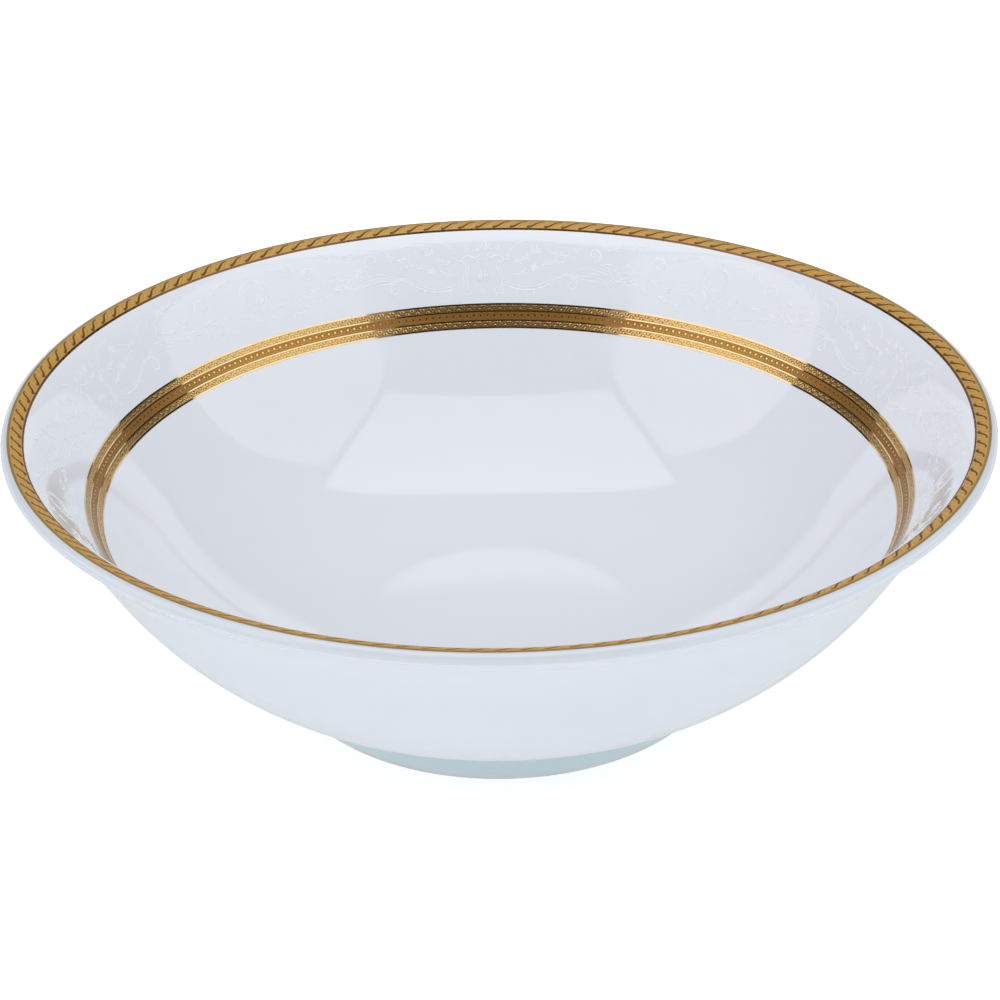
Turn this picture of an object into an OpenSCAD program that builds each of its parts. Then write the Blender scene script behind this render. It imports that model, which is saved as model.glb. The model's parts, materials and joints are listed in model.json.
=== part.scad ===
// Porcelain serving bowl with a flared wall, a foot ring and etched gold bands.
// Every layer of the real bowl is a separate solid that lies face to face on the next:
// fired body, foot ring, glaze coats, raised white ornament and the courses of the gilding.
// All solids turn about Z. The foot stands on z = 0.

/* [Bowl] */
// Outside diameter of the lip
lip_d = 230; // [226:1:236]
// Height of the lip above the table
bowl_h = 71; // [69:0.5:76]
// Radius of the rolled edge of the lip
lip_r = 1.5; // [1.3:0.1:1.7]
// Slope of the inside face where it meets the rolled edge
crest_slope = 2; // [0:1:6]
// Slope of the outside face where it meets the rolled edge
underlip_slope = 40; // [36:1:44]

/* [Foot ring] */
// Radius of the bearing edge of the foot
foot_r = 53.6; // [52:0.2:55]
// Width of the bearing face
foot_w = 3.2; // [2.6:0.2:4]
// Width of the foot ring where it joins the wall
foot_root_w = 7; // [6:0.5:8]
// Height of the unglazed edge of the foot
bare_h = 1; // [0.6:0.1:1.4]
// Chamfer of the bearing edge
foot_chamfer = 0.5; // [0.3:0.1:0.7]

/* [Glaze] */
// Thickness of the glaze coat
glaze_t = 0.25; // [0.15:0.05:0.35]
// Reach of the glaze that pools between the wall and the foot
pool = 4; // [2:0.5:4]

/* [Rim gilding] */
// Thickness of the gilding
gold_t = 0.1; // [0.06:0.01:0.15]
// Width of the plain line on the crest of the lip
rim_edge_w = 0.6; // [0.4:0.1:0.8]
// Width of the twisted rope course
rim_rope_w = 2.85; // [2:0.05:3]
// Width of the plain line that closes the rim band
rim_inner_w = 0.6; // [0.4:0.1:0.8]

/* [Inner gilding] */
// Distance from the rim band to the inner band, along the face
flare_w = 20.6; // [20:0.1:22]
// Width of the plain lines at the edges of the inner band
band_edge_w = 0.42; // [0.3:0.02:0.6]
// Width of each braid course
braid_w = 1.6; // [1.2:0.1:2]
// Width of the rules beside the bead course
rule_w = 0.35; // [0.2:0.05:0.4]
// Width of the bead course
bead_w = 2.2; // [2:0.1:2.8]

/* [White ornament] */
// Thickness of the raised white ornament
relief_t = 0.08; // [0.05:0.01:0.12]
// Bare face between the ornament and the gilding
relief_margin = 1; // [0.5:0.1:2]

/* [Quality] */
// Longest step along the outline of the wall
wall_step = 3; // [1.5:0.5:5]
// Longest step along the outline of the lip
lip_step = 0.65; // [0.4:0.05:1]

/* [Hidden] */
$fn = 180;

// Both faces are chains of arcs, walked from the lip towards the axis.
// An arc is [length, radius]: a positive radius is hollow upwards, a negative one is the flare.
inner_arcs = [[3.75, -6], [5.5, -20], [14.3, -190], [23.3, 146], [58, 72]];
outer_arcs = [[11.7, -46.7], [15.7, -149], [30, 91.2], [27.8, 69.4], [foot_root_w, 45], [5, 45]];

// The normal that points up and towards the axis from a face of slope a
function up(a) = [-sin(a), cos(a)];
function turn(part, radius) = part / radius * 180 / PI;

// The point and slope at arc length s of a chain, lifted by d along the normal
function walk(p, a, arcs, s, i = 0) =
    let (length = arcs[i][0], radius = arcs[i][1], centre = p + radius * up(a))
    (s <= length || i == len(arcs) - 1)
        ? [centre, radius, a - turn(s, radius)]
        : let (a2 = a - turn(length, radius))
            walk(centre - radius * up(a2), a2, arcs, s - length, i + 1);
function lifted(w, d) = w[0] - (w[1] - d) * up(w[2]);

// The spherical cap that closes a chain on the axis, as one more arc
function total(arcs, i = 0) = i == len(arcs) ? 0 : arcs[i][0] + total(arcs, i + 1);
function cap_arc(p, a, arcs) =
    let (end = walk(p, a, arcs, total(arcs)), at = lifted(end, 0), radius = at[0] / sin(end[2]))
    [radius * end[2] * PI / 180, radius];

// Stations from a up to b, at most a step apart, without b
function span(a, b, step) =
    let (count = ceil((b - a) / step))
    [for (i = [0 : count - 1]) a + (b - a) * i / count];
function spans(edges, step) =
    [for (i = [0 : len(edges) - 2]) each span(edges[i], edges[i + 1], step)];
function between(stations, a, b) = [for (s = stations) if (s > a - 0.001 && s < b + 0.001) s];
function reversed(list) = [for (i = [len(list) - 1 : -1 : 0]) list[i]];

// Inside face, from the crest of the lip to the middle of the well
crest = [lip_d / 2 - lip_r * (1 + sin(crest_slope)), bowl_h];
roll_centre = crest - lip_r * up(crest_slope);
inner_chain = concat(inner_arcs, [cap_arc(crest, crest_slope, inner_arcs)]);
function inner(s, d) = lifted(walk(crest, crest_slope, inner_chain, s), d);

rim_edges = [0, rim_edge_w, rim_edge_w + rim_rope_w, rim_edge_w + rim_rope_w + rim_inner_w];
rim_w = rim_edges[3];
relief_edges = [rim_w + relief_margin, rim_w + flare_w - relief_margin];
band_from = rim_w + flare_w;
upper_rule_from = band_from + band_edge_w + braid_w;
bead_from = upper_rule_from + rule_w;
lower_rule_from = bead_from + bead_w;
lower_braid_from = lower_rule_from + rule_w;
bottom_line_from = lower_braid_from + braid_w;
band_edges = [
    band_from, band_from + band_edge_w, upper_rule_from, bead_from,
    lower_rule_from, lower_braid_from, bottom_line_from, bottom_line_from + band_edge_w
];
inner_end = total(inner_chain);
inner_stations = concat(
    spans(rim_edges, lip_step),
    spans([rim_w, relief_edges[0], relief_edges[1], band_from], lip_step * 2),
    spans(band_edges, lip_step * 2),
    span(band_edges[7], inner_end, wall_step),
    [inner_end]
);

// Outside face, from the rolled edge to the middle of the foot recess
underlip = roll_centre - lip_r * up(underlip_slope);
outer_chain = concat(outer_arcs, [cap_arc(underlip, underlip_slope, outer_arcs)]);
function outer(s, d) = lifted(walk(underlip, underlip_slope, outer_chain, s), d);

foot_from = total([for (i = [0 : 3]) outer_arcs[i]]);
foot_to = foot_from + foot_root_w;
outer_end = total(outer_chain);
outer_stations = concat(
    span(0, foot_from, wall_step),
    span(foot_from, foot_to, wall_step / 2),
    span(foot_to, outer_end, wall_step),
    [outer_end]
);

// The rolled edge, from the crest round to the underside
roll_steps = 12;
function roll(radius) = [
    for (i = [1 : roll_steps - 1])
        let (t = 90 + crest_slope - i / roll_steps * (180 + crest_slope - underlip_slope))
        roll_centre + radius * [cos(t), sin(t)]
];

// Sides of the foot ring, bare and glazed
foot_out_r = foot_r - glaze_t;
foot_in_r = foot_out_r - foot_w;

// Bowed fillets where the glaze pools
pool_steps = 6;
function bow(a, b, c) = [
    for (i = [1 : pool_steps - 1])
        let (t = i / pool_steps)
        (1 - t) * (1 - t) * a + 2 * t * (1 - t) * b + t * t * c
];
function on_line(a, b, z) = a + (b - a) * (z - a[1]) / (b[1] - a[1]);

// A thin ring laid on the inside face between two stations
module course(a, b, thickness) {
    stations = between(inner_stations, a, b);
    rotate_extrude()
        polygon(concat(
            [for (s = stations) inner(s, 0)],
            [for (s = reversed(stations)) inner(s, thickness)]
        ));
}

module gilding(a, b, tone) {
    color(tone) course(a, b, gold_t);
}

module porcelain_body() {
    color("white") rotate_extrude()
        polygon(concat(
            [for (s = reversed(inner_stations)) inner(s, -glaze_t)],
            roll(lip_r - glaze_t),
            [for (s = outer_stations) outer(s, glaze_t)]
        ));
}

module foot_ring() {
    root = between(outer_stations, foot_from, foot_to);
    color("gainsboro") rotate_extrude()
        polygon(concat(
            [for (s = root) outer(s, glaze_t)],
            [
                [foot_in_r, bare_h],
                [foot_in_r, foot_chamfer],
                [foot_in_r + foot_chamfer, 0],
                [foot_out_r - foot_chamfer, 0],
                [foot_out_r, foot_chamfer],
                [foot_out_r, bare_h]
            ]
        ));
}

module inner_glaze() {
    color("ghostwhite") course(0, inner_end, -glaze_t);
}

module outer_glaze() {
    skin = between(outer_stations, 0, foot_from);
    wall_end = outer(foot_from - pool, 0);
    foot_end = [foot_r, bare_h];
    corner = outer(foot_from, 0) + [glaze_t, 0];
    foot_start = on_line(foot_end, corner, corner[1] - pool);
    color("ghostwhite") rotate_extrude()
        polygon(concat(
            [inner(0, 0)],
            roll(lip_r),
            [for (s = skin) if (s < foot_from - pool) outer(s, 0)],
            [wall_end],
            bow(wall_end, corner, foot_start),
            [foot_start, foot_end, [foot_out_r, bare_h]],
            [for (s = reversed(skin)) outer(s, glaze_t)],
            reversed(roll(lip_r - glaze_t)),
            [inner(0, -glaze_t)]
        ));
}

module recess_glaze() {
    skin = between(outer_stations, foot_to, outer_end);
    recess_start = outer(foot_to + pool, 0);
    foot_end = [foot_in_r - glaze_t, bare_h];
    corner = outer(foot_to, 0) - [glaze_t, 0];
    foot_start = on_line(foot_end, corner, corner[1] - pool);
    color("azure") rotate_extrude()
        polygon(concat(
            [for (s = reversed(skin)) if (s > foot_to + pool) outer(s, 0)],
            [recess_start],
            bow(recess_start, corner, foot_start),
            [foot_start, foot_end, [foot_in_r, bare_h]],
            [for (s = skin) outer(s, glaze_t)]
        ));
}

module white_relief() {
    color("snow") course(relief_edges[0], relief_edges[1], relief_t);
}

module rim_edge_line() {
    gilding(rim_edges[0], rim_edges[1], "darkgoldenrod");
}

module rim_rope_course() {
    gilding(rim_edges[1], rim_edges[2], "goldenrod");
}

module rim_inner_line() {
    gilding(rim_edges[2], rim_edges[3], "darkgoldenrod");
}

module band_top_line() {
    gilding(band_edges[0], band_edges[1], "darkgoldenrod");
}

module band_upper_braid() {
    gilding(band_edges[1], band_edges[2], "goldenrod");
}

module band_upper_rule() {
    gilding(band_edges[2], band_edges[3], "darkgoldenrod");
}

module band_bead_course() {
    gilding(band_edges[3], band_edges[4], "gold");
}

module band_lower_rule() {
    gilding(band_edges[4], band_edges[5], "darkgoldenrod");
}

module band_lower_braid() {
    gilding(band_edges[5], band_edges[6], "goldenrod");
}

module band_bottom_line() {
    gilding(band_edges[6], band_edges[7], "darkgoldenrod");
}

porcelain_body();
foot_ring();
inner_glaze();
outer_glaze();
recess_glaze();
white_relief();
rim_edge_line();
rim_rope_course();
rim_inner_line();
band_top_line();
band_upper_braid();
band_upper_rule();
band_bead_course();
band_lower_rule();
band_lower_braid();
band_bottom_line();
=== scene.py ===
"""Looks of the porcelain serving bowl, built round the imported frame. Metres, on the frame's own axes."""
import json
import math

import bpy
import numpy as np
from mathutils import Matrix, Vector


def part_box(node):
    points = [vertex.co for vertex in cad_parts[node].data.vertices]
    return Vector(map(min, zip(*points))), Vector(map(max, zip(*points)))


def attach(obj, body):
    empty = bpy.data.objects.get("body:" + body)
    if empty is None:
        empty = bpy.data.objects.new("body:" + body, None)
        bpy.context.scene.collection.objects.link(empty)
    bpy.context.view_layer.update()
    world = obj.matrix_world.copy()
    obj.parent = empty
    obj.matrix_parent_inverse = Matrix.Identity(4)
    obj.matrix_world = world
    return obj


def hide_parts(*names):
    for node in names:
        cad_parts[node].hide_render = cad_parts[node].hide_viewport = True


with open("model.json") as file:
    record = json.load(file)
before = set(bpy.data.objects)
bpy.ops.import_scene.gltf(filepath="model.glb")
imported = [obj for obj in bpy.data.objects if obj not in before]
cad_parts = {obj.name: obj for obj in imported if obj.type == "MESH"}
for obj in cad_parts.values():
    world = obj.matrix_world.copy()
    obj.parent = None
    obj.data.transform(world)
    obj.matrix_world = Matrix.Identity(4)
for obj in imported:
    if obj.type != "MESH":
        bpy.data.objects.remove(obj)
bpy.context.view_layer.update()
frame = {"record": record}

MM = 0.001

# ---------------------------------------------------------------- driving dimensions
# The crest of the lip and the middle of the bearing face come from the frame.
CREST = np.array([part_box("inner_glaze")[1].x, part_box("inner_glaze")[1].z])
BEARING_R = frame["record"]["mounts"][0]["pos_m"][0]

# The lip's rolled edge, and the slopes in degrees of the two faces where they leave it
LIP_R = 1.5 * MM
CREST_SLOPE = 2.0
UNDERLIP_SLOPE = 40.0

# Thickness of the coats
GLAZE_T = 0.25 * MM
GOLD_T = 0.1 * MM
RELIEF_T = 0.08 * MM

# The foot ring: widths at its face and its root, bare height, edge radius and the glaze's pool
FOOT_W = 3.2 * MM
FOOT_R = BEARING_R + FOOT_W / 2 + GLAZE_T
FOOT_ROOT_W = 7 * MM
BARE_H = 1 * MM
FOOT_ROUND = 0.5 * MM
POOL = 4 * MM

# Arc chains of the two faces, [length, radius] in mm, walked from the lip towards the axis
INNER_ARCS = [(3.75, -6), (5.5, -20), (14.3, -190), (23.3, 146), (58, 72)]
OUTER_ARCS = [(11.7, -46.7), (15.7, -149), (30, 91.2), (27.8, 69.4), (FOOT_ROOT_W / MM, 45), (5, 45)]
FOOT_AFTER_ARCS = 4   # the foot ring joins the outside face after this many arcs

# Courses of the gilding along the inside face, in mm, from the crest inwards, the flare between
RIM_COURSES = [("rim_edge_line", 0.6), ("rim_rope_course", 2.85), ("rim_inner_line", 0.6)]
FLARE_W = 20.6
BAND_COURSES = [
    ("band_top_line", 0.42), ("band_upper_braid", 1.6), ("band_upper_rule", 0.35),
    ("band_bead_course", 2.2),
    ("band_lower_rule", 0.35), ("band_lower_braid", 1.6), ("band_bottom_line", 0.42),
]

# Repeats round the bowl, and the cell that a repeat is drawn in, along and across, in mm
ROPE_REPEATS = 147
BRAID_REPEATS = 216
BEAD_REPEATS = 324
BRAID_CELL = (2.79, 1.6)
BEAD_CELL = (1.86, 2.2)

# Mesh columns round the bowl: of the glaze, the foot, the plain lines, and in each repeat
SEGMENTS = 420
FOOT_SEGMENTS = 360
LINE_COLUMNS = 720
ROPE_COLUMNS, BRAID_COLUMNS, BEAD_COLUMNS = 28, 20, 12

# Mesh rows across the etched courses
ROPE_ROWS, BRAID_ROWS, BEAD_ROWS = 17, 15, 19

# Mesh steps along the faces: under the rim's gold, on down to FLARE_END, in the bowl, outside,
# and where two pieces touch
GILDED_STEP = 0.25 * MM
FLARE_STEP = 0.8 * MM
FLARE_END = 40 * MM
BOWL_STEP = 1.3 * MM
OUTSIDE_STEP = 1 * MM
ROOT_STEP = 0.7 * MM
HIDDEN_STEP = 3 * MM


# ---------------------------------------------------------------- the two faces
def up(angle):
    """The normal that points up and towards the axis from a face of that slope, in degrees."""
    a = math.radians(angle)
    return np.array([-math.sin(a), math.cos(a)])


def chain_of(start, slope, arcs):
    """Arcs in metres with the spherical cap that closes them on the axis."""
    arcs = [(length * MM, radius * MM) for length, radius in arcs]
    point, angle = np.array(start, float), slope
    for length, radius in arcs:
        centre = point + radius * up(angle)
        angle -= math.degrees(length / radius)
        point = centre - radius * up(angle)
    cap = point[0] / math.sin(math.radians(angle))
    return {"start": np.array(start, float), "slope": slope,
            "arcs": arcs + [(cap * math.radians(angle), cap)]}


def total(chain, count=None):
    """Arc length of a chain, or of its first arcs."""
    return sum(length for length, _ in chain["arcs"][:count])


def on_face(chain, s, d=0.0):
    """(point, normal) at arc length s of a chain, lifted by d along the normal."""
    point, angle = chain["start"], chain["slope"]
    for i, (length, radius) in enumerate(chain["arcs"]):
        centre = point + radius * up(angle)
        if s <= length or i == len(chain["arcs"]) - 1:
            angle -= math.degrees(s / radius)
            return centre - (radius - d) * up(angle), up(angle)
        angle -= math.degrees(length / radius)
        point = centre - radius * up(angle)
        s -= length


ROLL_CENTRE = CREST - LIP_R * up(CREST_SLOPE)
INNER = chain_of(CREST, CREST_SLOPE, INNER_ARCS)
OUTER = chain_of(ROLL_CENTRE - LIP_R * up(UNDERLIP_SLOPE), UNDERLIP_SLOPE, OUTER_ARCS)
FOOT_FROM = total(OUTER, FOOT_AFTER_ARCS)
FOOT_TO = FOOT_FROM + FOOT_ROOT_W


def inner(s, d=0.0):
    """Point of the inside face at arc length s from the crest, lifted by d."""
    return on_face(INNER, s, d)[0]


def outer(s, d=0.0):
    """Point of the outside face at arc length s from the rolled edge, sunk into the wall by d."""
    return on_face(OUTER, s, d)[0]


def spread(a, b, step):
    """Stations from a to b, both included, at most a step apart."""
    return list(np.linspace(a, b, max(2, int(math.ceil((b - a) / step)) + 1)))


def stations_of(courses, start):
    """{name: (from, to)} in metres for courses laid side by side."""
    found, at = {}, start
    for name, width in courses:
        found[name] = (at, at + width * MM)
        at += width * MM
    return found


COURSES = stations_of(RIM_COURSES, 0.0)
RIM_END = COURSES["rim_inner_line"][1]
COURSES.update(stations_of(BAND_COURSES, RIM_END + FLARE_W * MM))


# ---------------------------------------------------------------- meshes
def new_object(name, verts, faces, sharp=40):
    """A closed smooth mesh with its faces turned outwards."""
    verts = np.asarray(verts, float)
    mesh = bpy.data.meshes.new(name)
    mesh.from_pydata(verts.tolist(), [], faces)
    mesh.calc_loop_triangles()
    tris = np.zeros(len(mesh.loop_triangles) * 3, np.int32)
    mesh.loop_triangles.foreach_get("vertices", tris)
    a, b, c = (verts[tris.reshape(-1, 3)[:, k]] for k in range(3))
    if np.einsum("ij,ij->i", a, np.cross(b, c)).sum() < 0:
        mesh.flip_normals()
    mesh.polygons.foreach_set("use_smooth", np.ones(len(mesh.polygons), bool))
    mesh.set_sharp_from_angle(angle=math.radians(sharp))
    mesh.update()
    piece = bpy.data.objects.new(name, mesh)
    bpy.context.scene.collection.objects.link(piece)
    return piece


def stand_for(piece, node, material):
    """The piece rides on the root, replaces its CAD node and wears its material."""
    piece.data.materials.append(material)
    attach(piece, "root")
    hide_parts(node)
    return piece


def lathe(name, outline, segments=SEGMENTS, sharp=40):
    """A solid of revolution. The outline is a closed loop, or runs from the axis back to it."""
    tiny = 1e-7
    poles = [i for i, p in enumerate(outline) if p[0] < tiny]
    turn = np.linspace(0, 2 * math.pi, segments, endpoint=False)
    verts, first = [], []
    for i, (r, z) in enumerate(outline):
        first.append(len(verts))
        if i in poles:
            verts.append((0.0, 0.0, z))
        else:
            verts.extend(zip(r * np.cos(turn), r * np.sin(turn), np.full(segments, z)))
    faces = []
    count = len(outline)
    for i in range(count if not poles else count - 1):
        j = (i + 1) % count
        a, b = first[i], first[j]
        for k in range(segments):
            n = (k + 1) % segments
            if i in poles:
                faces.append((a, b + n, b + k))
            elif j in poles:
                faces.append((a + k, a + n, b))
            else:
                faces.append((a + k, a + n, b + n, b + k))
    return new_object(name, verts, faces, sharp)


def bow(a, b, c, steps=12):
    """Points strictly between a and c on the curve that b pulls."""
    return [(1 - t) ** 2 * a + 2 * t * (1 - t) * b + t * t * c
            for t in np.linspace(0, 1, steps + 1)[1:-1]]


def roll(radius, steps=20):
    """The rolled edge from the crest round to the underside, without its ends."""
    sweep = 180 + CREST_SLOPE - UNDERLIP_SLOPE
    angles = np.radians(90 + CREST_SLOPE - sweep * np.linspace(0, 1, steps + 1)[1:-1])
    return [ROLL_CENTRE + radius * np.array([math.cos(t), math.sin(t)]) for t in angles]


def on_line(a, b, z):
    """The point at height z on the line through a and b."""
    return a + (b - a) * (z - a[1]) / (b[1] - a[1])


def from_axis(outline):
    """An outline that starts and ends on the axis, without rounding errors there."""
    return [np.array([max(p[0], 0.0), p[1]]) for p in outline]


def body_outline():
    """The fired wall and floor, under the coats and inside the rolled edge."""
    inside = [inner(s, -GLAZE_T) for s in reversed(spread(0, total(INNER), HIDDEN_STEP))]
    outside = [outer(s, GLAZE_T) for s in spread(0, total(OUTER), HIDDEN_STEP)]
    return from_axis(inside + roll(LIP_R - GLAZE_T, 12) + outside)


def inner_glaze_outline():
    """The coat inside, from the crest of the lip to the axis."""
    end = total(INNER)
    top = spread(0, RIM_END, GILDED_STEP)[:-1] + spread(RIM_END, FLARE_END, FLARE_STEP)[:-1]
    top += spread(FLARE_END, end, BOWL_STEP)
    under = spread(0, RIM_END, 2 * GILDED_STEP)[:-1] + spread(RIM_END, end, HIDDEN_STEP)
    return from_axis([inner(s, -GLAZE_T) for s in reversed(under)] + [inner(s) for s in top])


def outer_glaze_outline():
    """The coat outside: round the rolled edge, down the wall, pooled over the foot, to its end."""
    foot_out = FOOT_R - GLAZE_T
    wall_end = outer(FOOT_FROM - POOL)
    foot_end = np.array([FOOT_R, BARE_H])
    corner = outer(FOOT_FROM) + [GLAZE_T, 0]
    foot_start = on_line(foot_end, corner, corner[1] - POOL)
    lip = GLAZE_T / 2
    return (
        [inner(0)] + roll(LIP_R)
        + [outer(s) for s in spread(0, FOOT_FROM - POOL, OUTSIDE_STEP)[:-1]]
        + [wall_end] + bow(wall_end, corner, foot_start) + [foot_start]
        + [on_line(foot_start, foot_end, z)
           for z in np.linspace(foot_start[1], BARE_H + lip, 5)[1:]]
        + [np.array([FOOT_R - 0.3 * lip, BARE_H + 0.3 * lip]),
           np.array([FOOT_R - lip, BARE_H]), np.array([foot_out, BARE_H])]
        + [outer(s, GLAZE_T) for s in reversed(spread(0, FOOT_FROM, HIDDEN_STEP))]
        + list(reversed(roll(LIP_R - GLAZE_T, 12))) + [inner(0, -GLAZE_T)]
    )


def recess_glaze_outline():
    """The coat inside the foot ring and under the floor."""
    foot_in = FOOT_R - GLAZE_T - FOOT_W
    recess_start = outer(FOOT_TO + POOL)
    foot_end = np.array([foot_in - GLAZE_T, BARE_H])
    corner = outer(FOOT_TO) - [GLAZE_T, 0]
    foot_start = on_line(foot_end, corner, corner[1] - POOL)
    end = total(OUTER)
    skin = spread(FOOT_TO + POOL, end, OUTSIDE_STEP)
    return from_axis(
        [outer(s) for s in reversed(skin)] + bow(recess_start, corner, foot_start)
        + [foot_start, foot_end, np.array([foot_in, BARE_H])]
        + [outer(s, GLAZE_T) for s in spread(FOOT_TO, end, HIDDEN_STEP)]
    )


def foot_outline():
    """The foot ring, from its root in the body to the rounded edges of its bearing face."""
    foot_out = FOOT_R - GLAZE_T
    foot_in = foot_out - FOOT_W
    soft = FOOT_ROUND
    arc = np.radians(np.linspace(0, 90, 7))
    inside = [np.array([foot_in + soft - soft * math.cos(t), soft - soft * math.sin(t)]) for t in arc]
    outside = [np.array([foot_out - soft + soft * math.sin(t), soft - soft * math.cos(t)]) for t in arc]
    root = spread(FOOT_FROM, FOOT_TO, ROOT_STEP)
    return ([outer(s, GLAZE_T) for s in root] + [np.array([foot_in, BARE_H])] + inside + outside
            + [np.array([foot_out, BARE_H])])


# ---------------------------------------------------------------- the gilding
def course_mesh(name, columns, across, lift, polish=None, phase=0.0):
    """A closed ring on the inside face between its stations.

    across: fractions 0 to 1 over the width; lift(u, v) in metres, u the column's own fraction
    of a turn; polish(u, v) from 0, matt ground, to 1, burnished figure."""
    s0, s1 = COURSES[name]
    across = np.asarray(across)
    turn = np.arange(columns) / columns
    u, v = np.meshgrid(turn, across)
    high = lift(u, v)
    angle = 2 * math.pi * turn + phase
    rows = [on_face(INNER, s0 + (s1 - s0) * t) for t in across]
    base = np.array([p for p, _ in rows])
    normal = np.array([n for _, n in rows])
    r = base[:, 0, None] + normal[:, 0, None] * high
    z = base[:, 1, None] + normal[:, 1, None] * high
    top = np.stack([r * np.cos(angle), r * np.sin(angle), z], -1)
    under_at = np.linspace(1, 0, 5)
    under_rz = np.array([inner(s0 + (s1 - s0) * t) for t in under_at])
    under = np.stack([under_rz[:, 0, None] * np.cos(angle), under_rz[:, 0, None] * np.sin(angle),
                      np.repeat(under_rz[:, 1, None], columns, 1)], -1)
    grid = np.concatenate([top, under], 0)
    loops = len(grid)
    index = np.arange(loops * columns).reshape(loops, columns)
    nxt = np.roll(index, -1, 1)
    below, below_nxt = np.roll(index, -1, 0), np.roll(nxt, -1, 0)
    faces = np.stack([index, nxt, below_nxt, below], -1).reshape(-1, 4)
    piece = new_object(name.replace("_", "-") + "-gilding", grid.reshape(-1, 3), faces.tolist(), 50)
    if polish is not None:
        shine = np.zeros((loops, columns), np.float32)
        shine[: len(across)] = polish(u, v)
        shine[len(across):] = 0.5
        attribute = piece.data.attributes.new("polish", "FLOAT", "POINT")
        attribute.data.foreach_set("value", shine.ravel())
    return piece


def smooth_step(x, low, high):
    """0 below low, 1 above high, and a smooth step between them."""
    t = np.clip((x - low) / (high - low), 0, 1)
    return t * t * (3 - 2 * t)


def ridge(distance, half_width, soft):
    """1 on a line, 0 further than half_width + soft from it."""
    return 1 - smooth_step(np.abs(distance), half_width, half_width + soft)


EDGE_ROWS = [0, 0.25, 0.5, 0.75, 1]
FLUTE_ROWS = [0, 0.25, 0.495, 0.505, 0.75, 1]
PLAIN = 0.8     # height of a plain line, as a share of the gilding
GROUND = 0.42   # height of the etched ground, as a share of the gilding


def flat_line(u, v):
    """A burnished line, flat on top."""
    return np.full_like(v, PLAIN * GOLD_T)


def fluted_line(u, v):
    """A burnished line cut in two flutes, each sloping down towards the well."""
    first_end, second_start = FLUTE_ROWS[2:4]
    along = np.where(v < 0.5, v / first_end, (v - second_start) / (1 - second_start))
    return GOLD_T * (1 - 0.92 * np.clip(along, 0, 1))


def two_level(figure):
    """Height of an etched course where figure goes from 0, its ground, to 1."""
    return GOLD_T * (GROUND + (1 - GROUND) * figure)


def rope_cut(phase, v, at, reach, half, deep):
    """One S-shaped cut across the rope: flat at both ends, steep in the middle, 0 to 1."""
    pitch = 2 * math.pi * CREST[0] / MM / ROPE_REPEATS
    across = dict(RIM_COURSES)["rim_rope_course"]
    along = ((phase - at + 0.5) % 1.0) - 0.5
    straight = 0.66 * reach
    turn = np.clip(along / straight, -1, 1)
    swing = 0.34
    level = 0.5 + swing * np.sin(turn * math.pi / 2)
    steep = swing * math.pi / 2 / straight * np.cos(turn * math.pi / 2) * across / pitch
    half = half * (0.75 + 0.4 * turn) * np.sqrt(np.clip(1.03 - (along / reach) ** 4, 0, 1))
    inside = 1 - smooth_step(np.abs(along), 0.88 * reach, 1.02 * reach)
    away = np.abs(v - level) * across / np.hypot(1, steep)
    return deep * inside * (1 - smooth_step(away, half, half + 0.13))


def rope_figure(u, v):
    """Strands of a twisted rope: full lobes parted by S-shaped cuts, with finer cuts on them."""
    phase = (u * ROPE_REPEATS) % 1.0
    cuts = np.maximum.reduce([rope_cut(phase, v, 0.5, 0.60, 0.26, 1.0),
                              rope_cut(phase, v, 0.82, 0.40, 0.05, 0.42),
                              rope_cut(phase, v, 0.20, 0.40, 0.05, 0.42)])
    return 1 - cuts


def rope_lift(u, v):
    """Height of the rope course."""
    return two_level(rope_figure(u, v))


def rope_polish(u, v):
    """How far the rope course is burnished; where it is 0, in the cuts, it also gives the dark ground
    colour that paints their shadow.
    """
    return smooth_step(rope_figure(u, v), 0.25, 0.85)


def braid_figure(u, v):
    """A running vine: a waved stem with a round bud in each bend and smaller buds between."""
    phase = (u * BRAID_REPEATS) % 1.0
    pitch, width = BRAID_CELL
    swing = 0.24
    wave = swing * np.sin(2 * math.pi * phase)
    steep = np.hypot(1, swing * 2 * math.pi * np.cos(2 * math.pi * phase) * width / pitch)
    stem = 0.5 * ridge((v - 0.5 - wave) * width / steep, 0.12, 0.1)

    def bud(centre, level, radius, long):
        """A domed bud, longer along the course than across it."""
        dx = ((phase - centre + 0.5) % 1.0 - 0.5) * pitch / long
        return np.clip(1.15 - (np.hypot(dx, (v - level) * width) / radius) ** 2, 0, 1)

    return np.maximum.reduce([stem, bud(0.25, 0.27, 0.27, 1.3), bud(0.75, 0.73, 0.27, 1.3),
                              bud(0.02, 0.80, 0.17, 1.6), bud(0.52, 0.20, 0.17, 1.6)])


def braid_lift(u, v):
    """Height of a braid."""
    return two_level(braid_figure(u, v))


def braid_polish(u, v):
    """How far a braid is burnished; its ground is bright too."""
    return 0.36 + 0.64 * smooth_step(braid_figure(u, v), 0.25, 0.7)


def bead_figure(u, v):
    """A row of flat burnished beads, small ones between them and a scalloped thread below."""
    phase = (u * BEAD_REPEATS) % 1.0
    pitch, width = BEAD_CELL

    def disc(centre, level, radius):
        """A flat round bead."""
        dx = ((phase - centre + 0.5) % 1.0 - 0.5) * pitch
        return ridge(np.hypot(dx, (v - level) * width), radius, 0.05)

    scallop = ridge((v - 0.80 - 0.06 * np.cos(2 * math.pi * phase)) * width, 0.05, 0.09)
    return np.maximum.reduce([disc(0.5, 0.42, 0.25), 0.8 * disc(0.0, 0.58, 0.13),
                              0.4 * scallop, 0.5 * disc(0.0, 0.17, 0.08)])


def bead_lift(u, v):
    """Height of the bead course, which is nearly flat."""
    return two_level(0.2 * bead_figure(u, v))


def bead_polish(u, v):
    """How far the bead course is burnished."""
    return 0.06 + 0.94 * smooth_step(bead_figure(u, v), 0.2, 0.8)


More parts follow.
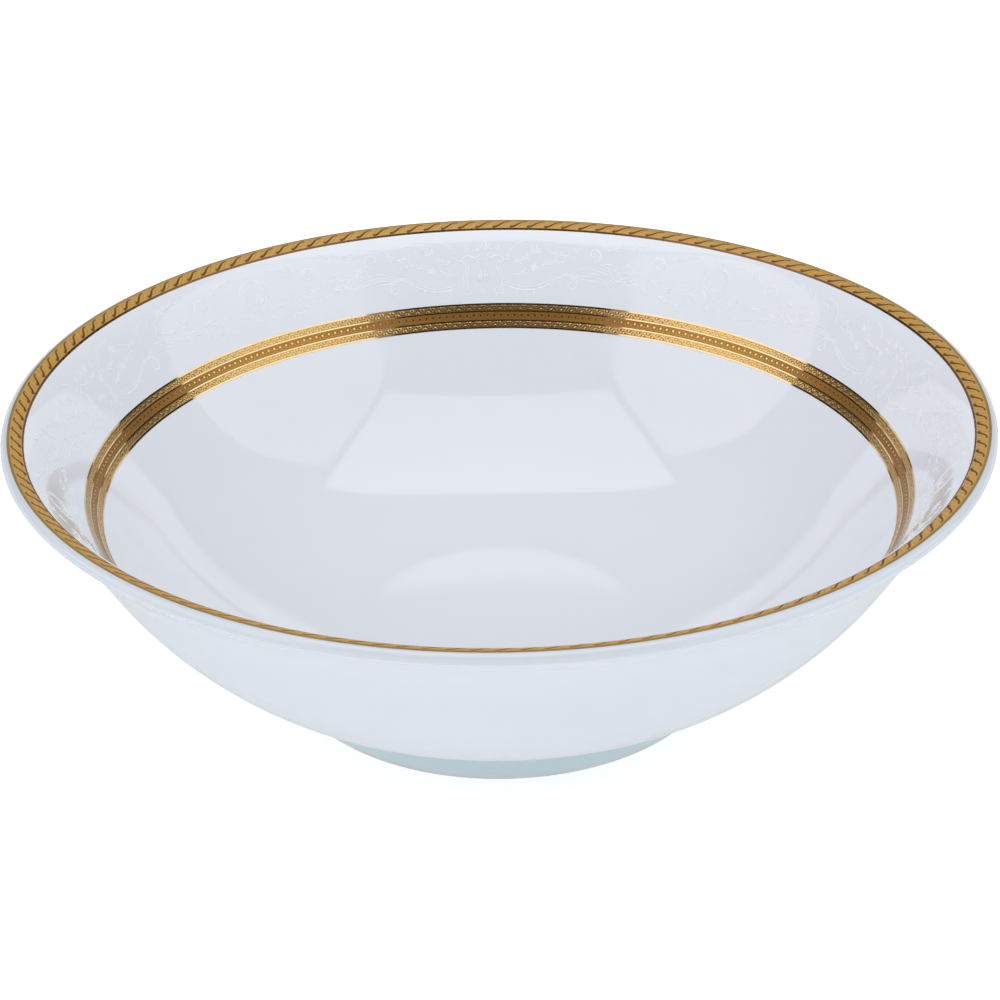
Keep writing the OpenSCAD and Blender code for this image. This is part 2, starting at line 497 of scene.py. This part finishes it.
# ---------------------------------------------------------------- the white ornament
RELIEF_MARGIN = 1     # mm, left free beside the gold
RELIEF_FROM, RELIEF_TO = RIM_END + RELIEF_MARGIN * MM, RIM_END + (FLARE_W - RELIEF_MARGIN) * MM
UNITS = 5             # mirrored units of the ornament round the bowl
UNIT_AT = math.radians(92.2)
REFERENCE_R = 105.0   # mm, where one unit of x along the ornament is one millimetre


def curve(points, count):
    """A smooth line through the points, evenly resampled."""
    p = np.asarray(points, float)
    ext = np.vstack([2 * p[0] - p[1], p, 2 * p[-1] - p[-2]])
    out = []
    for i in range(1, len(ext) - 2):
        for t in np.linspace(0, 1, 16, endpoint=False):
            a, b, c, d = ext[i - 1: i + 3]
            out.append(0.5 * (2 * b + (c - a) * t + (2 * a - 5 * b + 4 * c - d) * t * t
                              + (3 * b - a - 3 * c + d) * t ** 3))
    out.append(p[-1])
    out = np.array(out)
    run = np.concatenate([[0], np.cumsum(np.hypot(*np.diff(out, axis=0).T))])
    at = np.linspace(0, run[-1], count)
    return np.stack([np.interp(at, run, out[:, k]) for k in (0, 1)], -1)


def spiral(centre, start_radius, end_radius, start, sweep, count=26):
    """A scroll that winds from one radius to the other; angles in degrees."""
    t = np.linspace(0, 1, count)
    angle = np.radians(start + sweep * t)
    radius = start_radius * (end_radius / start_radius) ** t
    return np.stack([centre[0] + radius * np.cos(angle), centre[1] + radius * np.sin(angle)], -1)


def ring(centre, rx, ry, count=24):
    """An ellipse, drawn from its right side."""
    angle = np.linspace(0, 2 * math.pi, count)
    return np.stack([centre[0] + rx * np.cos(angle), centre[1] + ry * np.sin(angle)], -1)


def leaf(base, heading, length, bend=0.25, count=9):
    """The midline of a leaf that leaves base at a heading, in degrees, and curves."""
    t = np.linspace(0, 1, count)
    angle = np.radians(heading) + bend * 2.4 * t
    step = length / (count - 1)
    dx, dy = np.cos(angle) * step, np.sin(angle) * step
    return np.stack([base[0] + np.concatenate([[0], np.cumsum(dx[1:])]),
                     base[1] + np.concatenate([[0], np.cumsum(dy[1:])])], -1)


FINE, LINE, BOLD = 0.36, 0.48, 0.68   # stroke widths in mm


def even(width):
    """The width along a stroke that is even and thins at both ends."""
    return lambda t: width * np.clip(np.minimum(t, 1 - t) * 8 + 0.35, 0, 1)


def tapered(width):
    """The width along a stroke that thins towards its far end."""
    return lambda t: width * (1 - 0.72 * t) * np.clip(t * 10 + 0.4, 0, 1)


def leaf_width(width):
    """The width along a leaf, fullest in its middle."""
    return lambda t: width * np.clip(np.sin(math.pi * np.clip(t * 0.94 + 0.03, 0, 1)), 0.16, 1)


def spray(start, end, rise, leaves, size):
    """A curved stem with leaves that alternate along it and grow towards its foot."""
    mid = ((start[0] + end[0]) / 2, (start[1] + end[1]) / 2 + rise)
    stem = curve([start, mid, end], 28)
    strokes = [(stem, tapered(LINE))]
    heading = np.degrees(np.arctan2(*(np.gradient(stem, axis=0)[:, ::-1].T)))
    for i in range(leaves):
        at = int(2 + (len(stem) - 5) * i / max(leaves - 1, 1))
        side = 1 if i % 2 else -1
        length = size * (1 - 0.5 * i / leaves)
        strokes.append((leaf(stem[at], heading[at] + side * 48, length, -side * 0.3),
                        leaf_width(length * 0.24)))
    return strokes


def fan(centre, heading, count, step, length, width=0.5):
    """Leaves that open like a shell round a heading; the middle ones are the longest."""
    middle = (count - 1) / 2
    return [(leaf(centre, heading + (k - middle) * step,
                  length * (1 - 0.35 * abs(k - middle) / max(middle, 1)), 0.12 * (k - middle), 7),
             leaf_width(width)) for k in range(count)]


def lyre():
    """The lyre in the middle of a unit, with its bud, pendant and the shell above it."""
    strokes = []
    for shift, width in ((0.0, LINE), (0.9, FINE)):
        strokes.append((curve([(5.9 - shift, 12.4), (4.7 - shift, 14.3), (5.6 - shift, 17.0),
                               (5.3 - shift, 19.2), (5.8 - 0.6 * shift, 20.8)], 22), even(width)))
    strokes += [
        (spiral((4.2, 20.9), 1.75, 0.32, 10, 430), tapered(LINE)),
        (spiral((6.6, 11.8), 1.3, 0.3, 160, -400), tapered(LINE)),
        (curve([(5.9, 12.4), (3.9, 11.4), (2.1, 12.1), (0.5, 11.0)], 18), even(LINE)),
        (ring((0, 16.4), 2.4, 2.3, 30)[:16], even(FINE)),
        (leaf((0.35, 18.0), -86, 2.9, 0.05), leaf_width(0.62)),
        (leaf((0.7, 18.0), -45, 2.0, -0.4), leaf_width(0.5)),
        (curve([(2.4, 19.2), (1.5, 20.4), (0.4, 19.9)], 12), tapered(FINE)),
        (leaf((0.4, 20.2), 84, 2.6, 0.05), leaf_width(0.55)),
        (curve([(0.4, 12.2), (1.3, 13.0), (1.0, 14.2)], 10), tapered(FINE)),
    ]
    return strokes + fan((0.9, 10.2), -68, 4, 24, 3.2) + fan((4.2, 10.4), -80, 3, 30, 2.4, 0.45)


def swag():
    """A garland that runs into the C-scroll, leafy branches round a flower, and shells above."""
    strokes = []
    for drop, width in ((0.0, LINE), (0.95, FINE)):
        strokes.append((curve([(6.4, 19.7 - drop), (9.8, 20.9 - drop), (14.6, 20.9 - 0.9 * drop),
                               (19.0, 19.2 - 0.9 * drop), (22.2, 17.0 - 0.6 * drop),
                               (25.6, 16.6 + 0.2 * drop)], 32), even(width)))
    for k in range(5):
        base = (9.6 + 2.2 * k, 20.9 - 0.1 * k * k)
        strokes.append((leaf(base, 62 - 12 * k, 1.9, 0.4, 6), leaf_width(0.5)))
    strokes += fan((14.2, 14.9), 15, 8, 45, 1.8, 0.6)
    strokes += spray((12.2, 15.0), (7.6, 16.6), 0.9, 6, 1.7)
    strokes += spray((16.2, 14.6), (23.0, 13.4), -1.1, 8, 1.9)
    strokes += spray((8.4, 13.2), (13.6, 9.9), 1.2, 7, 2.0)
    strokes += spray((24.0, 11.2), (16.2, 8.6), 1.0, 8, 2.1)
    strokes += fan((14.6, 10.9), -84, 5, 26, 3.0, 0.55)
    strokes.append((curve([(7.4, 11.2), (8.9, 8.6), (12.4, 7.2), (17.8, 7.0), (23.4, 8.4)], 26),
                    tapered(LINE)))
    strokes.append((spiral((24.3, 9.6), 1.2, 0.3, -80, 400), tapered(FINE)))
    return strokes


def scrolls():
    """C-scrolls that open outwards into flowing lines and leaves, up to the next unit."""
    strokes = [
        (spiral((25.2, 19.3), 2.5, 0.4, -120, 520, 34), tapered(BOLD)),
        (spiral((25.2, 19.3), 1.7, 0.5, -110, 340, 22), tapered(FINE)),
        (spiral((30.6, 10.4), 2.4, 0.4, 75, -500, 34), tapered(BOLD)),
        (curve([(24.9, 12.6), (26.4, 8.9), (30.2, 7.4), (34.6, 8.6)], 20), tapered(LINE)),
        (spiral((49.4, 11.4), 3.0, 0.45, 150, 540, 36), tapered(BOLD)),
        (spiral((49.4, 11.4), 2.1, 0.6, 160, 330, 22), tapered(FINE)),
        (spiral((60.2, 18.9), 1.9, 0.35, -150, 430), tapered(LINE)),
        (spiral((41.6, 11.9), 1.5, 0.3, 200, -400), tapered(LINE)),
    ]
    for k in range(4):
        strokes.append((curve([(24.2 + 0.5 * k, 16.7 + 0.2 * k), (28.6, 14.6 + 0.95 * k),
                               (34.4, 15.4 + 0.9 * k), (40.2 - 0.9 * k, 18.2 + 0.5 * k)], 20),
                        tapered(LINE if k % 2 == 0 else FINE)))
    for begin, finish, rise, count, size in (
            ((33.6, 9.4), (45.4, 7.2), -0.9, 8, 2.5), ((32.6, 12.9), (45.6, 14.2), 1.2, 8, 2.6),
            ((37.6, 17.0), (49.8, 20.4), -1.4, 8, 2.6), ((47.2, 15.6), (58.4, 15.4), 1.6, 7, 2.5),
            ((52.6, 9.6), (61.4, 7.0), -0.7, 6, 2.1), ((50.4, 19.4), (58.6, 20.6), 0.8, 5, 1.8)):
        strokes.extend(spray(begin, finish, rise, count, size))
    return strokes


def far_shield():
    """Half of the small shield where two units meet."""
    edge = math.pi * REFERENCE_R / UNITS
    strokes = []
    for shift, width in ((0.0, LINE), (0.85, FINE)):
        strokes.append((curve([(edge - 0.3, 8.6 + shift), (edge - 3.4 + shift, 10.0),
                               (edge - 4.2 + shift, 13.2), (edge - 2.6 + shift, 16.4),
                               (edge - 0.3, 17.8 - shift)], 22), even(width)))
    strokes += fan((edge - 0.5, 15.8), -104, 3, 24, 3.6, 0.6)
    strokes += fan((edge - 0.5, 7.9), -110, 2, 30, 1.8, 0.45)
    strokes += [(leaf((edge - 0.4, 18.6), 94, 2.6, 0.0), leaf_width(0.6)),
                (curve([(edge - 4.8, 20.6), (edge - 2.6, 19.6), (edge - 0.3, 20.2)], 12), tapered(FINE))]
    return strokes


def ornament_half():
    """Strokes of one half of a unit: ([x, s] in mm from the unit's middle, width)."""
    return [(np.asarray(points, float), width)
            for points, width in lyre() + swag() + scrolls() + far_shield()]


# Across a stroke: place as a share of the half width, height as a share of the relief
STROKE_SECTION = [(-1.0, -0.25), (-0.45, 1.0), (0.45, 1.0), (1.0, -0.25)]
RELIEF_TOP = 0.98 * RELIEF_T
STROKE_EDGE = 0.35    # mm, how far strokes stay inside the relief's own borders
FULL_WIDTH = 0.4      # mm, strokes thinner than this are lower too


def stroke_faces(first, rows, cols, turned):
    """Faces of a closed stroke: rows rings of cols points each, and its two ends."""
    rings = [[first + i * cols + j for j in range(cols)] for i in range(rows)]
    faces = []
    for one, after in zip(rings, rings[1:]):
        for j in range(cols):
            k = (j + 1) % cols
            faces.append((one[j], one[k], after[k], after[j]))
    faces.append(tuple(reversed(rings[0])))
    faces.append(tuple(rings[-1]))
    return [face[::-1] for face in faces] if turned else faces


def relief_piece(name):
    """Every stroke of the ornament as a low rounded bead of enamel on the flare."""
    table_s = np.linspace(RELIEF_FROM, RELIEF_TO, 400)
    table = [on_face(INNER, s) for s in table_s]
    base = np.array([p for p, _ in table])
    normal = np.array([n for _, n in table])
    verts, faces = [], []
    section = np.array(STROKE_SECTION)
    lowest, highest = RELIEF_FROM + STROKE_EDGE * MM, RELIEF_TO - STROKE_EDGE * MM
    for points, width in ornament_half():
        step = np.gradient(points, axis=0)
        step /= np.maximum(np.hypot(*step.T)[:, None], 1e-9)
        side = np.stack([-step[:, 1], step[:, 0]], -1)
        t = np.linspace(0, 1, len(points))
        half = width(t)[:, None] / 2
        x = points[:, 0, None] + side[:, 0, None] * half * section[:, 0]
        s = points[:, 1, None] + side[:, 1, None] * half * section[:, 0]
        s = np.clip(s * MM, lowest, highest)
        high = RELIEF_TOP * section[:, 1] * np.clip(2 * half / FULL_WIDTH, 0.5, 1)
        r = np.interp(s, table_s, base[:, 0]) + np.interp(s, table_s, normal[:, 0]) * high
        z = np.interp(s, table_s, base[:, 1]) + np.interp(s, table_s, normal[:, 1]) * high
        rows, cols = x.shape
        for unit in range(UNITS):
            for mirror in (1, -1):
                angle = UNIT_AT + 2 * math.pi * unit / UNITS + mirror * x / REFERENCE_R
                first = len(verts)
                points_3d = np.stack([r * np.cos(angle), r * np.sin(angle), z], -1)
                verts.extend(points_3d.reshape(-1, 3).tolist())
                faces.extend(stroke_faces(first, rows, cols, mirror < 0))
    return new_object(name, verts, faces, 60)


# ---------------------------------------------------------------- materials
def material(name):
    """(material, its nodes, its links, its Principled shader)"""
    m = bpy.data.materials.new(name)
    m.use_nodes = True
    tree = m.node_tree
    return m, tree.nodes, tree.links, tree.nodes["Principled BSDF"]


def object_point(nodes):
    """The point on the object, in metres."""
    return nodes.new("ShaderNodeTexCoord").outputs["Object"]


def noise(nodes, links, point, scale, detail, rough=0.5):
    """Noise from 0 to 1 with scale cells to the metre."""
    n = nodes.new("ShaderNodeTexNoise")
    n.inputs["Scale"].default_value = scale
    n.inputs["Detail"].default_value = detail
    n.inputs["Roughness"].default_value = rough
    links.new(point, n.inputs["Vector"])
    return n.outputs["Fac"]


def remap(nodes, links, value, low, high, to_low, to_high):
    """The value, taken from the range low to high over to the range to_low to to_high."""
    n = nodes.new("ShaderNodeMapRange")
    for socket, number in (("From Min", low), ("From Max", high),
                           ("To Min", to_low), ("To Max", to_high)):
        n.inputs[socket].default_value = number
    links.new(value, n.inputs["Value"])
    return n.outputs["Result"]


def clouds(nodes, links, point, scale, detail, low=0.3, high=0.7, to_low=0.0, to_high=1.0):
    """Noise of a scale, spread out from its usual range of low to high."""
    return remap(nodes, links, noise(nodes, links, point, scale, detail), low, high, to_low, to_high)


def blend(nodes, links, factor, first, second):
    """A colour that goes from first to second; either may be a colour or a socket."""
    n = nodes.new("ShaderNodeMix")
    n.data_type = "RGBA"
    links.new(factor, n.inputs["Factor"])
    for socket, colour in ((n.inputs[6], first), (n.inputs[7], second)):
        if isinstance(colour, tuple):
            socket.default_value = (*colour, 1)
        else:
            links.new(colour, socket)
    return n.outputs[2]


def bump(nodes, links, height, depth, strength=1.0, under=None):
    """A normal for a height of 0 to 1 times a depth in metres, over another normal if given."""
    n = nodes.new("ShaderNodeBump")
    n.inputs["Strength"].default_value = strength
    n.inputs["Distance"].default_value = depth
    links.new(height, n.inputs["Height"])
    if under is not None:
        links.new(under, n.inputs["Normal"])
    return n.outputs["Normal"]


def height_of(nodes, links, point):
    """The height of a point above the table."""
    n = nodes.new("ShaderNodeSeparateXYZ")
    links.new(point, n.inputs["Vector"])
    return n.outputs["Z"]


def glaze(name, light, shade, roughness=0.045, pool=None, wave=1.0):
    """Clear glaze on porcelain: faint cloudy tint, orange peel, slow waves of the wall.

    pool: (low z, high z, colour) where the coat gathers and looks deeper, with painted shade: the colour
    darkens and greys towards the bottom."""
    m, nodes, links, shader = material(name)
    point = object_point(nodes)
    colour = blend(nodes, links, clouds(nodes, links, point, 14, 3), light, shade)
    if pool:
        # Darker and greyer towards the foot: the pooled glaze's tint, and painted shade where the wall
        # nears the table.
        deep = remap(nodes, links, height_of(nodes, links, point), pool[0], pool[1], 1, 0)
        colour = blend(nodes, links, deep, colour, pool[2])
    links.new(colour, shader.inputs["Base Color"])
    links.new(clouds(nodes, links, point, 60, 4, 0.3, 0.75, roughness, roughness + 0.03),
              shader.inputs["Roughness"])
    slow = bump(nodes, links, noise(nodes, links, point, 22, 1, 0.3), 0.00006 * wave)
    peel = bump(nodes, links, noise(nodes, links, point, 420, 2), 0.0000025, 1.0, slow)
    links.new(peel, shader.inputs["Normal"])
    shader.inputs["IOR"].default_value = 1.5
    return m


def bare(name, light, shade, grain=2600):
    """Unglazed porcelain: dry, finely grained, with rub marks."""
    m, nodes, links, shader = material(name)
    point = object_point(nodes)
    links.new(blend(nodes, links, clouds(nodes, links, point, 90, 5, 0.35), light, shade),
              shader.inputs["Base Color"])
    links.new(clouds(nodes, links, point, 300, 4, to_low=0.6, to_high=0.85), shader.inputs["Roughness"])
    links.new(bump(nodes, links, noise(nodes, links, point, grain, 4), 0.00003, 0.8),
              shader.inputs["Normal"])
    return m


def enamel(name, light, shade):
    """White enamel of the raised ornament: satin, slightly uneven."""
    m, nodes, links, shader = material(name)
    point = object_point(nodes)
    links.new(blend(nodes, links, clouds(nodes, links, point, 120, 3, 0.35, 0.65), light, shade),
              shader.inputs["Base Color"])
    links.new(clouds(nodes, links, point, 700, 2, to_low=0.22, to_high=0.36), shader.inputs["Roughness"])
    links.new(bump(nodes, links, noise(nodes, links, point, 1500, 2), 0.000006), shader.inputs["Normal"])
    return m


def burnished(name, colour, dull, roughness, wear=0.05, metallic=1.0):
    """Polished gilding: metal with rub haze and hairlines too fine to see singly."""
    m, nodes, links, shader = material(name)
    point = object_point(nodes)
    links.new(blend(nodes, links, clouds(nodes, links, point, 160, 4, 0.35), colour, dull),
              shader.inputs["Base Color"])
    links.new(clouds(nodes, links, point, 900, 3, to_low=roughness, to_high=roughness + wear),
              shader.inputs["Roughness"])
    links.new(bump(nodes, links, noise(nodes, links, point, 3000, 2), 0.000001), shader.inputs["Normal"])
    shader.inputs["Metallic"].default_value = metallic
    return m


def etched(name, ground, figure, ground_rough, figure_rough, ground_metal, figure_metal=1.0):
    """Etched gilding: a frosted ground, and figures burnished where they stand up."""
    m, nodes, links, shader = material(name)
    point = object_point(nodes)
    shine = nodes.new("ShaderNodeAttribute")
    shine.attribute_name = "polish"
    shine = shine.outputs["Fac"]
    frost = clouds(nodes, links, point, 2200, 4)
    dark = tuple(0.8 * c for c in ground)
    links.new(blend(nodes, links, shine, blend(nodes, links, frost, ground, dark), figure),
              shader.inputs["Base Color"])
    links.new(remap(nodes, links, shine, 0, 1, ground_rough, figure_rough), shader.inputs["Roughness"])
    links.new(remap(nodes, links, shine, 0, 1, ground_metal, figure_metal), shader.inputs["Metallic"])
    grain = nodes.new("ShaderNodeMath")
    grain.operation = "MULTIPLY"
    links.new(frost, grain.inputs[0])
    links.new(remap(nodes, links, shine, 0, 0.8, 1, 0), grain.inputs[1])
    links.new(bump(nodes, links, grain.outputs[0], 0.000004), shader.inputs["Normal"])
    return m


# The outside glaze's tint low on the wall is partly pooled glaze and partly painted shade near the foot.
POOL_FROM, POOL_TO, POOLED_AND_SHADED_TINT = 0.008, 0.014, (0.525, 0.635, 0.683)
inside = glaze("inside glaze", (0.755, 0.788, 0.852), (0.740, 0.775, 0.840))
# Painted shade: the outside glaze is a darker copy of the inside glaze's colour.
outside = glaze("outside glaze painted darker", (0.612, 0.664, 0.733), (0.597, 0.650, 0.720), 0.05,
                pool=(POOL_FROM, POOL_TO, POOLED_AND_SHADED_TINT), wave=1.6)
recess = glaze("recess glaze", (0.64, 0.71, 0.76), (0.62, 0.69, 0.75), 0.06)
body_clay = bare("fired porcelain", (0.80, 0.80, 0.79), (0.76, 0.76, 0.75))
foot_clay = bare("ground foot", (0.66, 0.66, 0.63), (0.58, 0.57, 0.55))
white = enamel("white enamel", (0.800, 0.832, 0.892), (0.782, 0.816, 0.878))
satin = burnished("satin gold", (0.50, 0.35, 0.13), (0.42, 0.30, 0.11), 0.42, 0.08, 0.55)
mirror = burnished("burnished gold", (0.88, 0.67, 0.38), (0.84, 0.62, 0.33), 0.05, 0.03)
# Painted shade: the thin inner line of the rim is given a dark brown gold for the shade at the gold's
# inner edge.
inner_line_shaded_gold = burnished("dark inner line gold", (0.23, 0.118, 0.046), (0.20, 0.10, 0.04), 0.26, 0.04, 0.8)
band_etch = etched("etched band gold", (0.40, 0.180, 0.030), (0.84, 0.60, 0.26), 0.42, 0.08, 0.76)
# The rope's dark brown ground is partly the etched matt gold and partly a painted shadow in its cuts.
rim_etch_shaded_cuts = etched("etched rim gold with painted shadow", (0.13, 0.058, 0.010), (0.565, 0.325, 0.078), 0.6, 0.5, 0.1, 0.12)


# ---------------------------------------------------------------- the pieces
stand_for(lathe("fired-body", body_outline()), "porcelain_body", body_clay)
stand_for(lathe("inside-glaze", inner_glaze_outline()), "inner_glaze", inside)
stand_for(lathe("outside-glaze", outer_glaze_outline()), "outer_glaze", outside)
stand_for(lathe("recess-glaze", recess_glaze_outline(), FOOT_SEGMENTS),
          "recess_glaze", recess)
stand_for(lathe("ground-foot-ring", foot_outline(), FOOT_SEGMENTS),
          "foot_ring", foot_clay)
stand_for(relief_piece("white-scroll-relief"), "white_relief", white)

stand_for(course_mesh("rim_edge_line", LINE_COLUMNS, EDGE_ROWS, flat_line),
          "rim_edge_line", satin)
stand_for(course_mesh("rim_inner_line", LINE_COLUMNS, FLUTE_ROWS, fluted_line),
          "rim_inner_line", inner_line_shaded_gold)
for line in ("band_top_line", "band_upper_rule", "band_lower_rule", "band_bottom_line"):
    stand_for(course_mesh(line, LINE_COLUMNS, EDGE_ROWS, flat_line), line, mirror)
stand_for(course_mesh("rim_rope_course", ROPE_REPEATS * ROPE_COLUMNS, np.linspace(0, 1, ROPE_ROWS),
                      rope_lift, rope_polish),
          "rim_rope_course", rim_etch_shaded_cuts)
for course, phase in (("band_upper_braid", 0.0), ("band_lower_braid", math.pi / BRAID_REPEATS)):
    stand_for(course_mesh(course, BRAID_REPEATS * BRAID_COLUMNS, np.linspace(0, 1, BRAID_ROWS),
                          braid_lift, braid_polish, phase),
              course, band_etch)
stand_for(course_mesh("band_bead_course", BEAD_REPEATS * BEAD_COLUMNS, np.linspace(0, 1, BEAD_ROWS),
                      bead_lift, bead_polish),
          "band_bead_course", band_etch)


# ---------------------------------------------------------------- stage, light and camera
# Radiance of the floor, of what the glaze mirrors of it, of each panel and of the open ceiling
FLOOR_GLOW, SHEEN = 0.53, 0.72
TOP_GLOW, RIGHT_GLOW, LEFT_GLOW, EDGE_GLOW = 1.66, 1.2, 1.32, 0.3
FRONT_GLOW, BACK_GLOW = 0.6, 0.7
FILL = 1.05
ROOM_GLOW, ROOM_COLOUR = 0.035, (1.0, 0.75, 0.65)
WARM, COOL = (1.0, 0.985, 0.99), (0.955, 1.0, 0.995)
FLOOR_REACH, BACKDROP_R, SHEEN_DEPTH = 6.0, 8, 0.002

# The point in the bowl's mouth that the lights are set out from
MOUTH = Vector((0, 0, float(CREST[1]) * 0.75))


def emitter(name, colour, strength):
    """A material that only glows."""
    m = bpy.data.materials.new(name)
    m.use_nodes = True
    nodes, links = m.node_tree.nodes, m.node_tree.links
    nodes.clear()
    out, glow = nodes.new("ShaderNodeOutputMaterial"), nodes.new("ShaderNodeEmission")
    glow.inputs["Color"].default_value = (*colour, 1)
    glow.inputs["Strength"].default_value = strength
    links.new(glow.outputs[0], out.inputs[0])
    return m


def floor_piece():
    """A wide pale table top, lit from below like a light table, and what the glaze mirrors of it."""
    mesh = bpy.data.meshes.new("floor")
    corners = [(FLOOR_REACH * x, FLOOR_REACH * y, 0) for x, y in ((-1, -1), (1, -1), (1, 1), (-1, 1))]
    mesh.from_pydata(corners, [], [(0, 1, 2, 3)])
    floor = bpy.data.objects.new("floor", mesh)
    bpy.context.scene.collection.objects.link(floor)
    m, nodes, links, shader = material("pale floor")
    shader.inputs["Base Color"].default_value = (0.80, 0.80, 0.80, 1)
    shader.inputs["Roughness"].default_value = 0.9
    shader.inputs["Specular IOR Level"].default_value = 0.1
    shader.inputs["Emission Color"].default_value = (1, 1, 1, 1)
    shader.inputs["Emission Strength"].default_value = FLOOR_GLOW
    mesh.materials.append(m)
    floor.visible_glossy = False
    sheen = bpy.data.objects.new("floor-sheen", mesh.copy())
    bpy.context.scene.collection.objects.link(sheen)
    sheen.location.z = -SHEEN_DEPTH
    sheen.data.materials[0] = emitter("floor sheen", (0.95, 0.98, 1.0), SHEEN)
    for name in ("visible_camera", "visible_diffuse", "visible_transmission", "visible_shadow"):
        setattr(sheen, name, False)


def backdrop_piece():
    """A plain white dome behind everything. Only the camera sees it, so it casts no light."""
    bpy.ops.mesh.primitive_uv_sphere_add(segments=48, ring_count=24, radius=BACKDROP_R)
    dome = bpy.context.object
    dome.name = "backdrop"
    dome.data.materials.append(emitter("white backdrop", (1, 1, 1), 1.0))
    for name in ("visible_diffuse", "visible_glossy", "visible_transmission", "visible_shadow"):
        setattr(dome, name, False)


def soft_box(name, centre, target, width, height, radiance):
    """A soft box of even radiance that faces a target. The camera doesn't see it."""
    light = bpy.data.lights.new(name, "AREA")
    light.shape = "RECTANGLE"
    light.size, light.size_y = width, height
    light.energy = radiance * math.pi * width * height
    box = bpy.data.objects.new(name, light)
    bpy.context.scene.collection.objects.link(box)
    box.location = centre
    box.rotation_euler = (Vector(target) - Vector(centre)).to_track_quat("-Z", "Y").to_euler()
    box.visible_camera = False
    return box


def top_panel():
    """The ceiling panel: its edges sit at fixed slopes from the bowl's mouth."""
    high = 1.6
    side, front, back = 0.554, 0.466, 0.384
    box = soft_box("top-panel", MOUTH + Vector((0, (back - front) / 2 * high, high)), MOUTH,
                   2 * side * high, (front + back) * high, TOP_GLOW)
    box.rotation_euler = (0, 0, 0)


def upright_panel(name, side, front, back, radiance, colour):
    """An upright panel beside the bowl, from the ceiling panel's edge down to near the table."""
    away, top, bottom = 0.9, 1.55, 0.20
    middle = Vector((side * away, (front + back) / 2, (top + bottom) / 2))
    box = soft_box(name, middle, middle - Vector((side, 0, 0)), back - front, top - bottom, radiance)
    box.rotation_euler = (math.radians(90), 0, math.radians(90 * side))
    box.data.color = colour


def fill_light():
    """Daylight from a whole white ceiling: it lights what is matt and isn't seen in the gold."""
    light = bpy.data.lights.new("fill", "SUN")
    light.energy = FILL
    light.angle = math.radians(178)
    fill = bpy.data.objects.new("fill", light)
    bpy.context.scene.collection.objects.link(fill)
    fill.visible_glossy = False


floor_piece()
backdrop_piece()
top_panel()
upright_panel("side-panel-right", 1, -0.93, 0.32, RIGHT_GLOW, COOL)
upright_panel("side-edge-right", 1, -1.29, -0.93, EDGE_GLOW, WARM)
upright_panel("side-panel-left", -1, -0.93, 0.245, LEFT_GLOW, WARM)
upright_panel("side-edge-left", -1, -1.15, -0.93, EDGE_GLOW, WARM)
soft_box("front-strip", (0, -2.5, 0.32), MOUTH, 5.0, 0.6, FRONT_GLOW)
soft_box("back-strip", (0, 2.2, 0.32), MOUTH, 6.0, 0.6, BACK_GLOW)
fill_light()

world = bpy.data.worlds.new("dim room")
bpy.context.scene.world = world
world.use_nodes = True
background = world.node_tree.nodes["Background"]
background.inputs["Color"].default_value = (*ROOM_COLOUR, 1)
background.inputs["Strength"].default_value = ROOM_GLOW

# The camera: its place and aim in metres, its roll in radians, its lens and sensor in mm
EYE = Vector((0, -0.5113, 0.31565))
AIM = Vector((0, 0, 0.0440))
ROLL = -0.01275
LENS, SENSOR = 87.15, 36

camera = bpy.data.objects.new("camera", bpy.data.cameras.new("camera"))
bpy.context.scene.collection.objects.link(camera)
camera.data.lens = LENS
camera.data.sensor_width = SENSOR
camera.data.clip_start = 0.01
ahead = (AIM - EYE).normalized()
right = ahead.cross(Vector((0, 0, 1))).normalized()
above = right.cross(ahead)
right, above = (math.cos(ROLL) * right + math.sin(ROLL) * above,
                math.cos(ROLL) * above - math.sin(ROLL) * right)
camera.matrix_world = Matrix.Translation(EYE) @ Matrix((right, above, -ahead)).transposed().to_4x4()
bpy.context.scene.camera = camera

bpy.context.scene.view_settings.view_transform = "Standard"
bpy.context.scene.view_settings.look = "None"
